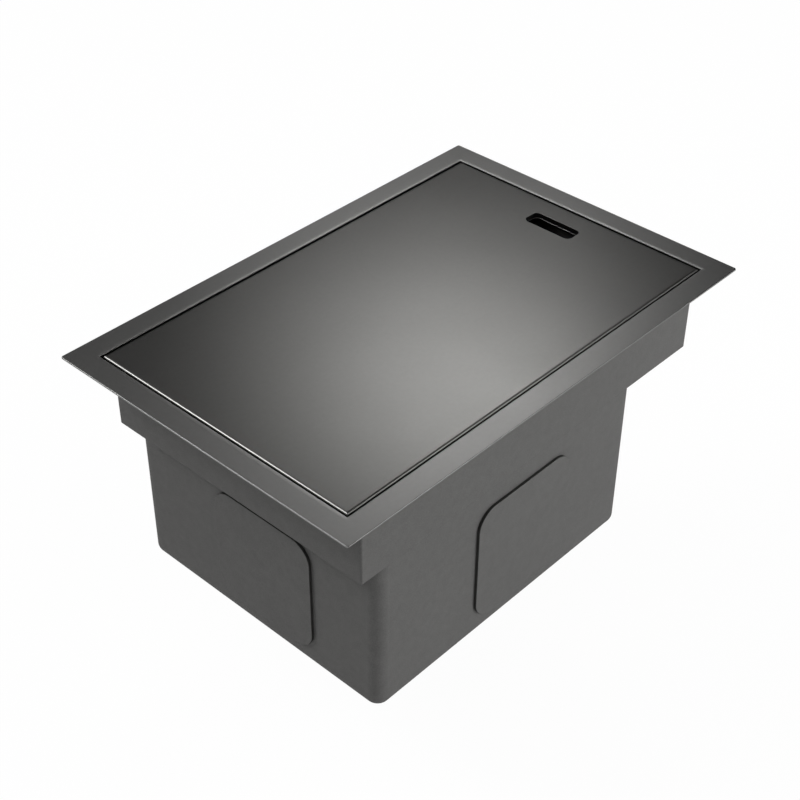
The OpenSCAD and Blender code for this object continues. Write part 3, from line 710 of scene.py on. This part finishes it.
class SINK_OT_bowl(bpy.types.Operator):
    """Bowl with round corners, a round foot and a creased floor that falls to the waste seat"""
    bl_idname = "sink.bowl"
    bl_label = "Bowl"

    def execute(self, context):
        s = context.scene.sink_sizes
        t, r, foot = s.sheet, s.bowl_corner, s.bowl_foot
        length, width = BOWL_HIGH.x - BOWL_LOW.x - 2 * t, BOWL_HIGH.y - BOWL_LOW.y - 2 * t
        half_l, half_w = length / 2 - r, width / 2 - r
        seat = BOWL_LOW.z + t
        edge = seat + s.seat_drop + s.floor_fall
        # The step down to the seat starts and turns outside the seat's radius and ends inside it
        step_start, step_turn, step_end = 0.0011, 0.0003, 0.0006
        bm = bmesh.new()
        walk_round(bm, [(r, BOWL_HIGH.z + s.cut_edge)]
                   + arc_points(r - foot, edge + foot, foot, 0, -90, 12) + [(0.0, edge)],
                   length, width, r, 14, at=WASTE_X)
        ring_r = s.seat_radius + step_start
        corners = sorted((v for v in bm.verts if v.is_boundary and abs(v.co.z - edge) < SAME),
                         key=bearing)
        diagonal = math.atan2(half_w, half_l)
        across, along = 2 * diagonal, math.pi - 2 * diagonal
        verts = []
        for start, sweep, steps in ((diagonal - math.pi, along, 22), (-diagonal, across, 18),
                                    (diagonal, along, 22), (math.pi - diagonal, across, 18)):
            verts += plan_arc(bm, WASTE_X, 0, edge, ring_r, start, sweep, steps)
        bmesh.ops.remove_doubles(bm, verts=verts, dist=SAME)
        ring = sorted({v for e in bm.edges if not e.link_faces for v in e.verts}, key=bearing)
        for v in ring:
            reach = max(abs(v.co.x - WASTE_X) / half_l, abs(v.co.y) / half_w)
            v.co.z = edge - s.floor_fall * (1 - reach)
        self.facets(bm, corners, ring)
        ring = open_edges(bm, lambda p: math.hypot(p.x - WASTE_X, p.y) < ring_r + NEAR)
        here = ring_r
        for radius, level in ((s.seat_radius + step_turn, seat + step_end),
                              (s.seat_radius - step_end, seat), (s.waste_hole, seat)):
            pulled = bmesh.ops.extrude_edge_only(bm, edges=ring)["geom"]
            fresh = only_verts(pulled)
            for v in fresh:
                v.co = (WASTE_X + (v.co.x - WASTE_X) * radius / here, v.co.y * radius / here, level)
            ring = [e for e in only_edges(pulled) if set(e.verts) <= set(fresh)]
            here = radius
        bmesh.ops.recalc_face_normals(bm, faces=bm.faces)
        wall = max(bm.faces, key=lambda f: f.calc_center_median().x if abs(f.normal.x) > 0.9 else -1)
        if wall.normal.x > 0:
            bmesh.ops.reverse_faces(bm, faces=bm.faces[:])
        piece = finish_piece(bm, "bowl_sheet", "sink", [finish("satin_z"), finish("sprayed")],
                             ["bowl"], sharp=24, thickness=t, outside=1)
        # The creases lie on the floor's diagonals, where shorter edges belong to the round foot
        aside, shortest = 0.001, 0.02
        for e in piece.data.edges:
            a, b = (piece.data.vertices[k].co for k in e.vertices)
            on_crease = all(abs(abs(p.x - WASTE_X) / half_l - abs(p.y) / half_w) < aside
                            and ring_r - ALONG < math.hypot(p.x - WASTE_X, p.y) for p in (a, b))
            if on_crease and (a - b).length > shortest:
                e.use_edge_sharp = True
        return {"FINISHED"}

    def facets(self, bm, corners, ring):
        """The floor's four facets, between creases from its corners to the ring round the seat."""
        creases = [bm.edges.new((corner, min(ring, key=lambda v: abs(bearing(v) - bearing(corner)))))
                   for corner in corners]
        for k, corner in enumerate(corners):
            following = corners[(k + 1) % 4]
            crease, other = creases[k], creases[(k + 1) % 4]
            base = [e for e in corner.link_edges if e.other_vert(corner) is following]
            i, j = ring.index(crease.other_vert(corner)), ring.index(other.other_vert(following))
            run = ring[i:j + 1] if j > i else ring[i:] + ring[:j + 1]
            path = [bm.edges.get(pair) for pair in zip(run, run[1:])]
            bmesh.ops.edgeloop_fill(bm, edges=base + [crease, other] + path)
        for e in creases:
            e.smooth = False


class SINK_OT_lid(bpy.types.Operator):
    """Lid folded from one sheet, with a finger slot and its turned-down lip"""
    bl_idname = "sink.lid"
    bl_label = "Lid"

    def execute(self, context):
        l = context.scene.lid_sizes
        top, bottom = LID_HIGH.z, LID_LOW.z
        length, width = LID_HIGH.x - LID_LOW.x, LID_HIGH.y - LID_LOW.y
        slot_x = LID_HIGH.x - l.slot_inset
        bm = bmesh.new()
        block(bm, (LID_LOW.x, LID_LOW.y, bottom), (LID_HIGH.x, LID_HIGH.y, top))
        bmesh.ops.delete(bm, geom=[f for f in bm.faces if abs(f.normal.z) > 0.9],
                         context="FACES_ONLY")
        upright = [e for e in bm.edges if abs(e.verts[0].co.z - e.verts[1].co.z) > ALONG]
        bmesh.ops.subdivide_edges(bm, edges=upright, cuts=1)
        # The line across the turned-down edges lies this far under the fold
        under_fold = 0.0003
        for v in bm.verts:
            if bottom + NEAR < v.co.z < top - NEAR:
                v.co.z = top - l.fold - under_fold
        edge = open_edges(bm, lambda p: abs(p.z - top) < SAME)
        for v in only_verts(bmesh.ops.extrude_edge_only(bm, edges=edge)["geom"]):
            v.co.x -= math.copysign(l.border, v.co.x)
            v.co.y -= math.copysign(l.border, v.co.y)
        fold = [e for e in bm.edges if all(
            abs(v.co.z - top) < SAME and abs(abs(v.co.x) - length / 2) < SAME
            and abs(abs(v.co.y) - width / 2) < SAME for v in e.verts)]
        soften(bm, fold, l.fold, 8)

        def at_corner(p):
            return (abs((length / 2 - abs(p.x)) - (width / 2 - abs(p.y))) < NEAR
                    and abs(p.x) > length / 2 - l.fold - NEAR)

        bmesh.ops.bevel(bm, geom=[e for e in bm.edges if all(at_corner(v.co) for v in e.verts)],
                        offset=l.slit, offset_type="OFFSET", segments=1, profile=0.5,
                        affect="EDGES", clamp_overlap=True, material=-1)
        bmesh.ops.delete(bm, geom=[f for f in bm.faces if at_corner(f.calc_center_median())],
                         context="FACES")
        r = l.slot_corner
        walk_round(bm, [(r, top), (r, top - l.lip + l.lip_bead), (r - l.lip_bead, top - l.lip)],
                   l.slot_width, l.slot_length, r, 10, at=slot_x)
        inner = open_edges(bm, lambda p: abs(p.z - top) < SAME
                           and abs(p.x - slot_x) < l.slot_width and abs(p.y) < l.slot_length)
        outer = [e for e in open_edges(bm, lambda p: abs(p.z - top) < SAME and (
            abs(p.x) < length / 2 - l.border + NEAR and abs(p.y) < width / 2 - l.border + NEAR))
            if e not in set(inner)]
        bmesh.ops.triangle_fill(bm, edges=inner + outer, use_beauty=True, use_dissolve=False)
        bmesh.ops.dissolve_limit(bm, angle_limit=math.radians(0.5), edges=[
            e for e in bm.edges if e not in set(inner + outer)
            and all(abs(v.co.z - top) < SAME for v in e.verts)], verts=[])
        bmesh.ops.recalc_face_normals(bm, faces=bm.faces)
        up = max(bm.faces, key=lambda f: f.calc_area() if abs(f.normal.z) > 0.9 else 0)
        if up.normal.z < 0:
            bmesh.ops.reverse_faces(bm, faces=bm.faces[:])
        # The sides' painted shade, a much darker copy of the lid's coat, starts at this share of the
        # fold's radius
        shade_from = 0.62
        for face in bm.faces:
            at = face.calc_center_median()
            if at.z < top - l.fold * shade_from and abs(at.x - slot_x) > l.slot_width:
                face.material_index = 2
        finish_piece(bm, "lid_sheet", "lid", [finish("satin_x")] * 2 + [finish("lid_side_painted_shade")] * 2,
                     ["lid_panel"], sharp=35, thickness=l.sheet, outside=1,
                     edge_round=l.lip_fold)
        return {"FINISHED"}


class SINK_OT_buffers(bpy.types.Operator):
    """Rubber buffers that carry the lid on its ledges"""
    bl_idname = "sink.buffers"
    bl_label = "Lid buffers"

    def execute(self, context):
        for number in range(1, 5):
            node = f"lid_buffer_{number}"
            low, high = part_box(node)
            bm = bmesh.new()
            radius, brim = (high.x - low.x) / 2, 0.0006
            turned(bm, [(0.0, low.z), (radius * 0.9, low.z), (radius, low.z + brim),
                        (radius * 0.92, high.z - 2 * brim), (radius, high.z - brim),
                        (radius, high.z), (0.0, high.z)],
                   (low.x + high.x) / 2, (low.y + high.y) / 2, 40, closed=False)
            bmesh.ops.recalc_face_normals(bm, faces=bm.faces)
            finish_piece(bm, f"buffer_{number}", "lid", [finish("rubber")], [node],
                         sharp=40)
        return {"FINISHED"}


class SINK_OT_pads(bpy.types.Operator):
    """Sound pads stuck on the outside of the bowl"""
    bl_idname = "sink.pads"
    bl_label = "Sound pads"

    def execute(self, context):
        s = context.scene.sink_sizes
        for side in ("front", "back", "left", "right"):
            node = f"sound_pad_{side}"
            low, high = (Vector(p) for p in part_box(node))
            if side == "front":
                low.x -= s.front_pad_grow
                high.z += s.front_pad_grow
            elif side == "left":
                low.y += s.left_pad_trim
            bm = bmesh.new()
            block(bm, low, high)
            thin = 1 if side in ("front", "back") else 0
            out = -1 if side in ("front", "left") else 1
            through = [e for e in bm.edges
                       if abs(e.verts[0].co[thin] - e.verts[1].co[thin]) > ALONG]
            soften(bm, through, s.pad_corner, 14)
            face_at = high[thin] if out > 0 else low[thin]
            brim = [e for e in bm.edges if all(abs(v.co[thin] - face_at) < SAME for v in e.verts)]
            soften(bm, brim, s.pad_brim, 3)
            bmesh.ops.recalc_face_normals(bm, faces=bm.faces)
            for face in bm.faces:
                # Faces that don't face outwards take the darker coat, painted shade on the pads' sides
                face.material_index = 0 if face.normal[thin] * out > 0.35 else 1
            finish_piece(bm, f"pad_{side}", "sink", [finish("sprayed"), finish("shaded_pad_side")],
                         [node], sharp=50)
        return {"FINISHED"}


# The waste

class SINK_OT_strainer(bpy.types.Operator):
    """Strainer cup with its flange and neck"""
    bl_idname = "sink.strainer"
    bl_label = "Strainer"

    def execute(self, context):
        w, t = context.scene.waste_sizes, context.scene.sink_sizes.sheet
        out_r = (FLANGE_HIGH.x - FLANGE_LOW.x) / 2
        top, floor = FLANGE_HIGH.z, FLANGE_LOW.z
        under, foot = top - t, w.cup_foot
        foot_r, foot_z = w.cup_inside + t - foot, floor + foot
        roll, slope_in, slope_up = 0.0009, 0.0006, 0.0004
        bm = bmesh.new()
        turned(bm, [(w.outlet, floor), (foot_r, floor)]
               + arc_points(foot_r, foot_z, foot, -90, 0, 8)[1:]
               + [(w.cup_inside + t, under), (out_r - slope_in, under), (out_r, under + slope_up)]
               + arc_points(out_r - t / 2, top - t / 2, t / 2, 0, 90, 4)
               + arc_points(w.cup_inside + roll, top - roll, roll, 90, 180, 5)
               + arc_points(foot_r, foot_z, foot - t, 0, -90, 8) + [(w.outlet, floor + t)],
               steps=96)
        bmesh.ops.recalc_face_normals(bm, faces=bm.faces)
        finish_piece(bm, "strainer_cup", "sink", [finish("satin_z")], ["strainer_body"])
        self.neck(w)
        return {"FINISHED"}

    def neck(self, w):
        """The threaded neck under the strainer."""
        low, high, out_r = NECK_LOW.z, NECK_HIGH.z, (NECK_HIGH.x - NECK_LOW.x) / 2
        plain, chamfer = 0.002, 0.0006
        thread = []
        z = high - plain
        while z > low + plain:
            thread += [(out_r, z), (out_r, z - w.thread_pitch * 0.3),
                       (out_r - w.thread_depth, z - w.thread_pitch * 0.5),
                       (out_r - w.thread_depth, z - w.thread_pitch * 0.8)]
            z -= w.thread_pitch
        bm = bmesh.new()
        turned(bm, [(w.outlet, low), (out_r - chamfer, low), (out_r, low + chamfer)]
               + thread[::-1] + [(out_r, high), (w.outlet, high)], steps=96)
        bmesh.ops.recalc_face_normals(bm, faces=bm.faces)
        finish_piece(bm, "strainer_thread", "sink", [finish("satin_z")], ["strainer_neck"],
                     sharp=20)


class SINK_OT_nuts(bpy.types.Operator):
    """Lock nut with lugs, coupling nut with grip ribs and the tailpiece"""
    bl_idname = "sink.nuts"
    bl_label = "Nuts and tailpiece"

    def execute(self, context):
        w = context.scene.waste_sizes
        low, high = (p.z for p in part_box("lock_nut"))
        self.nut("lock_ring", "lock_nut", w, [
            (w.lock_bore, low), (w.lock_ring, low), (w.lock_ring, high), (w.lock_bore, high)],
            w.lock_bore, w.lock_ring, 0.0035, 0.004)
        low, high = (p.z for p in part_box("coupling_nut"))
        lip = low + 0.0025
        self.nut("coupling_ring", "coupling_nut", w, [
            (w.coupling_lip, low), (w.coupling_ring, low), (w.coupling_ring, high),
            (w.coupling_bore, high), (w.coupling_bore, lip), (w.coupling_lip, lip)],
            w.coupling_bore, w.coupling_ring, 0.002, 0.0025)
        self.tailpiece(w)
        return {"FINISHED"}

    def nut(self, name, node, w, profile, bore, ring, half_width, reach):
        """A turned ring with eight lugs or ribs that start inside it and reach past it."""
        low, high = (p.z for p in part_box(node))
        inside, shorter = 0.002, 0.0005
        bm = bmesh.new()
        turned(bm, profile, steps=96)
        soften(bm, corner_edges(bm), w.nut_round, 2)
        for k in range(8):
            made = block(bm, (WASTE_X + bore + inside, -half_width, low + shorter),
                         (WASTE_X + ring + reach, half_width, high - shorter))
            edges = {e for v in made for e in v.link_edges
                     if all(end.co.x > WASTE_X + ring for end in e.verts)}
            soft = bmesh.ops.bevel(bm, geom=list(edges), offset=w.lug_round, offset_type="OFFSET",
                                   segments=3, profile=0.5, affect="EDGES", material=-1)
            lug = {v for v in made if v.is_valid} | set(soft["verts"])
            bmesh.ops.rotate(bm, cent=(WASTE_X, 0, 0), verts=[v for v in lug if v.is_valid],
                             matrix=Matrix.Rotation(k * QUARTER / 2, 3, "Z"))
        bmesh.ops.recalc_face_normals(bm, faces=bm.faces)
        finish_piece(bm, name, "sink", [finish("plastic")], [node])

    def tailpiece(self, w):
        """The flanged tube that the trap goes on."""
        top, end, flange_r = TAIL_HIGH.z, TAIL_LOW.z, (TAIL_HIGH.x - TAIL_LOW.x) / 2
        chamfer, brim, flange = 0.0004, 0.0003, 0.0015
        slope = w.tail_collar - w.tail_tube
        bm = bmesh.new()
        turned(bm, [(w.tail_bore, end), (w.tail_tube - chamfer, end), (w.tail_tube, end + chamfer),
                    (w.tail_tube, end + w.tail_reach),
                    (w.tail_collar, end + w.tail_reach + slope),
                    (w.tail_collar, top - flange), (flange_r - brim, top - flange),
                    (flange_r, top - flange + brim), (flange_r, top - brim), (flange_r - brim, top),
                    (w.tail_bore, top)], steps=96)
        bmesh.ops.recalc_face_normals(bm, faces=bm.faces)
        finish_piece(bm, "tail_tube", "sink", [finish("plastic")], ["tailpiece"])


class SINK_OT_small_parts(bpy.types.Operator):
    """Finishes for gaskets, washers, basket and stopper"""
    bl_idname = "sink.small_parts"
    bl_label = "Gaskets, washers and basket"

    def execute(self, context):
        for node, name in (
            ("flange_gasket", "rubber"), ("under_gasket", "rubber"), ("stopper_seal", "rubber"),
            ("friction_washer", "fibre"), ("tail_washer", "washer"), ("outlet_cross", "satin_x"),
            ("basket_cup", "satin_z"), ("basket_knob", "satin_z"), ("stem_spacer", "satin_z"),
            ("stopper_backing", "satin_x"), ("stem_nut", "satin_z"),
        ):
            paint_node(node, name)
        return {"FINISHED"}


# Stage

class SINK_OT_stage(bpy.types.Operator):
    """Pale floor, soft lights, white background and the camera"""
    bl_idname = "sink.stage"
    bl_label = "Stage"

    def execute(self, context):
        scene, g = context.scene, context.scene.stage_settings
        scene.view_settings.view_transform = "Standard"
        self.camera(scene, g)
        self.lights(scene, g)
        self.room(scene, g)
        self.floor(scene)
        return {"FINISHED"}

    def camera(self, scene, g):
        """The camera, fitted to the photograph."""
        eye = bpy.data.cameras.new("camera")
        eye.lens, eye.sensor_width = g.lens, 36.0
        eye.clip_start, eye.clip_end = 0.01, 60.0
        seen = bpy.data.objects.new("camera", eye)
        seen.location, seen.rotation_euler = g.camera_place, g.camera_turn
        scene.collection.objects.link(seen)
        scene.camera = seen

    def lights(self, scene, g):
        """Two rows of small panels that the lid mirrors, and four large soft lights."""
        wide, high = g.glow_panel
        for row, powers in ((-0.5, g.glow_lower), (0.5, g.glow_upper)):
            for column, power in enumerate(powers):
                if power > 0:
                    self.lamp(scene, "glow", power, g.glow_panel, g.glow_place, (0.0, 0.0, 0.0),
                              g.glow_tilt, ((column - 2) * wide, row * high, 0.0))
        for name, power, size, place, target in (
            ("left_side", g.left_power, (1.4, 1.4), (-2.3, 3.0, 3.2), (0.0, 0.0, -0.05)),
            ("right_side", g.right_power, (1.0, 1.0), (2.4, -2.6, 2.2), (0.0, 0.0, -0.05)),
            ("front_low", g.front_power, (0.8, 0.8), (0.95, -1.9, 0.1), (0.0, 0.0, -0.1)),
            ("key", g.key_power, (2.4, 2.4), (-1.2, -1.0, 2.9), (0.0, 0.0, 0.0)),
        ):
            self.lamp(scene, name, power, size, place, target)

    def lamp(self, scene, name, power, size, place, target, tilt=0.0, aside=(0.0, 0.0, 0.0)):
        """A soft rectangular light that faces a target, turned and set aside in its own plane."""
        lamp = bpy.data.lights.new(name, "AREA")
        lamp.shape, lamp.energy = "RECTANGLE", power
        lamp.size, lamp.size_y = size
        lit = bpy.data.objects.new(name, lamp)
        facing = (Vector(target) - Vector(place)).to_track_quat("-Z", "Y")
        turn = facing @ Quaternion((0, 0, 1), tilt)
        lit.location = Vector(place) + turn @ Vector(aside)
        lit.rotation_euler = turn.to_euler()
        lit.visible_camera = False
        scene.collection.objects.link(lit)

    def room(self, scene, g):
        """Light from above that leans to one side, a dark band over the horizon, a pale ground."""
        scene.world = bpy.data.worlds.new("room")
        scene.world.use_nodes = True
        n = Nodes(scene.world.node_tree)
        way = n.add("ShaderNodeTexCoord", out="Generated")
        height = n.add("ShaderNodeSeparateXYZ", {}, {"Vector": way}, out="Z")
        lean = n.add("ShaderNodeVectorMath", {"operation": "DOT_PRODUCT"}, {0: way, 1: g.room_lean},
                     out="Value")
        strength = (lean + g.room_light).at_least(0.02).at_most(1.0)
        for low, high, below in ((0.50, 0.733, g.horizon), (-0.02, 0.03, 1.0)):
            strength = n.add("ShaderNodeMapRange", {}, {
                "Value": height, "From Min": low, "From Max": high, "To Min": below,
                "To Max": strength})
        seen = n.add("ShaderNodeLightPath", out="Is Camera Ray")
        white = n.add("ShaderNodeMix", {}, {"Factor": seen, "A": strength, "B": 1.0})
        n.add("ShaderNodeOutputWorld", {}, {"Surface": n.add("ShaderNodeBackground", {}, {
            "Color": (1, 1, 1, 1), "Strength": white})})

    def floor(self, scene):
        """A pale floor that is white to the camera and in mirrors, keeps shadows, and is clear
        from below."""
        bm = bmesh.new()
        bmesh.ops.create_grid(bm, x_segments=2, y_segments=2, size=9.0)
        bmesh.ops.translate(bm, verts=bm.verts, vec=(0, 0, cad_box[0].z))
        mesh = bpy.data.meshes.new("floor")
        bm.to_mesh(mesh)
        bm.free()
        ground = bpy.data.objects.new("floor", mesh)
        scene.collection.objects.link(ground)
        f = Finish("floor")
        camera, mirror, glass = (f.add("ShaderNodeLightPath", out=f"Is {way} Ray")
                                 for way in ("Camera", "Glossy", "Transmission"))
        pale = f.add("ShaderNodeBsdfDiffuse", {}, {"Color": (0.85, 0.85, 0.85, 1)})
        white = f.add("ShaderNodeEmission", {}, {"Strength": 1.0})
        # The rest of the floor stays pale, so that shadows still show on it
        white_share = 0.97
        above = f.add("ShaderNodeMixShader", {}, {
            0: (camera + mirror + glass).at_most(1.0) * white_share, 1: pale, 2: white})
        below = f.add("ShaderNodeBsdfTransparent")
        back = f.add("ShaderNodeNewGeometry", out="Backfacing")
        f.add("ShaderNodeOutputMaterial", {}, {
            "Surface": f.add("ShaderNodeMixShader", {}, {0: back, 1: above, 2: below})})
        mesh.materials.append(f.material)


# The panel and the run

class SINK_PT_panel(bpy.types.Panel):
    """Sizes, colours and makers of the sink"""
    bl_idname = "SINK_PT_panel"
    bl_label = "Sink with lid"
    bl_space_type = "VIEW_3D"
    bl_region_type = "UI"
    bl_category = "Sink"

    def draw(self, context):
        for attribute in GROUPS:
            group = getattr(context.scene, attribute)
            box = self.layout.box()
            for name in group.__annotations__:
                box.prop(group, name)
        for operator in OPERATORS:
            self.layout.operator(operator.bl_idname)


OPERATORS = (SINK_OT_rim, SINK_OT_well, SINK_OT_decks, SINK_OT_bowl, SINK_OT_lid, SINK_OT_buffers,
             SINK_OT_pads, SINK_OT_strainer, SINK_OT_nuts, SINK_OT_small_parts, SINK_OT_stage)
GROUPS = {"sink_sizes": SinkSizes, "lid_sizes": LidSizes, "waste_sizes": WasteSizes,
          "sink_finishes": SinkFinishes, "stage_settings": StageSettings}
CLASSES = tuple(GROUPS.values()) + OPERATORS + (SINK_PT_panel,)


def register():
    for cls in CLASSES:
        bpy.utils.register_class(cls)
    for attribute, group in GROUPS.items():
        setattr(bpy.types.Scene, attribute, bpy.props.PointerProperty(type=group))


def unregister():
    for attribute in GROUPS:
        delattr(bpy.types.Scene, attribute)
    for cls in reversed(CLASSES):
        bpy.utils.unregister_class(cls)


def main():
    register()
    bpy.ops.sink.rim()
    bpy.ops.sink.well()
    bpy.ops.sink.decks()
    bpy.ops.sink.bowl()
    bpy.ops.sink.lid()
    bpy.ops.sink.buffers()
    bpy.ops.sink.pads()
    bpy.ops.sink.strainer()
    bpy.ops.sink.nuts()
    bpy.ops.sink.small_parts()
    bpy.ops.sink.stage()


if __name__ == "__main__":
    main()
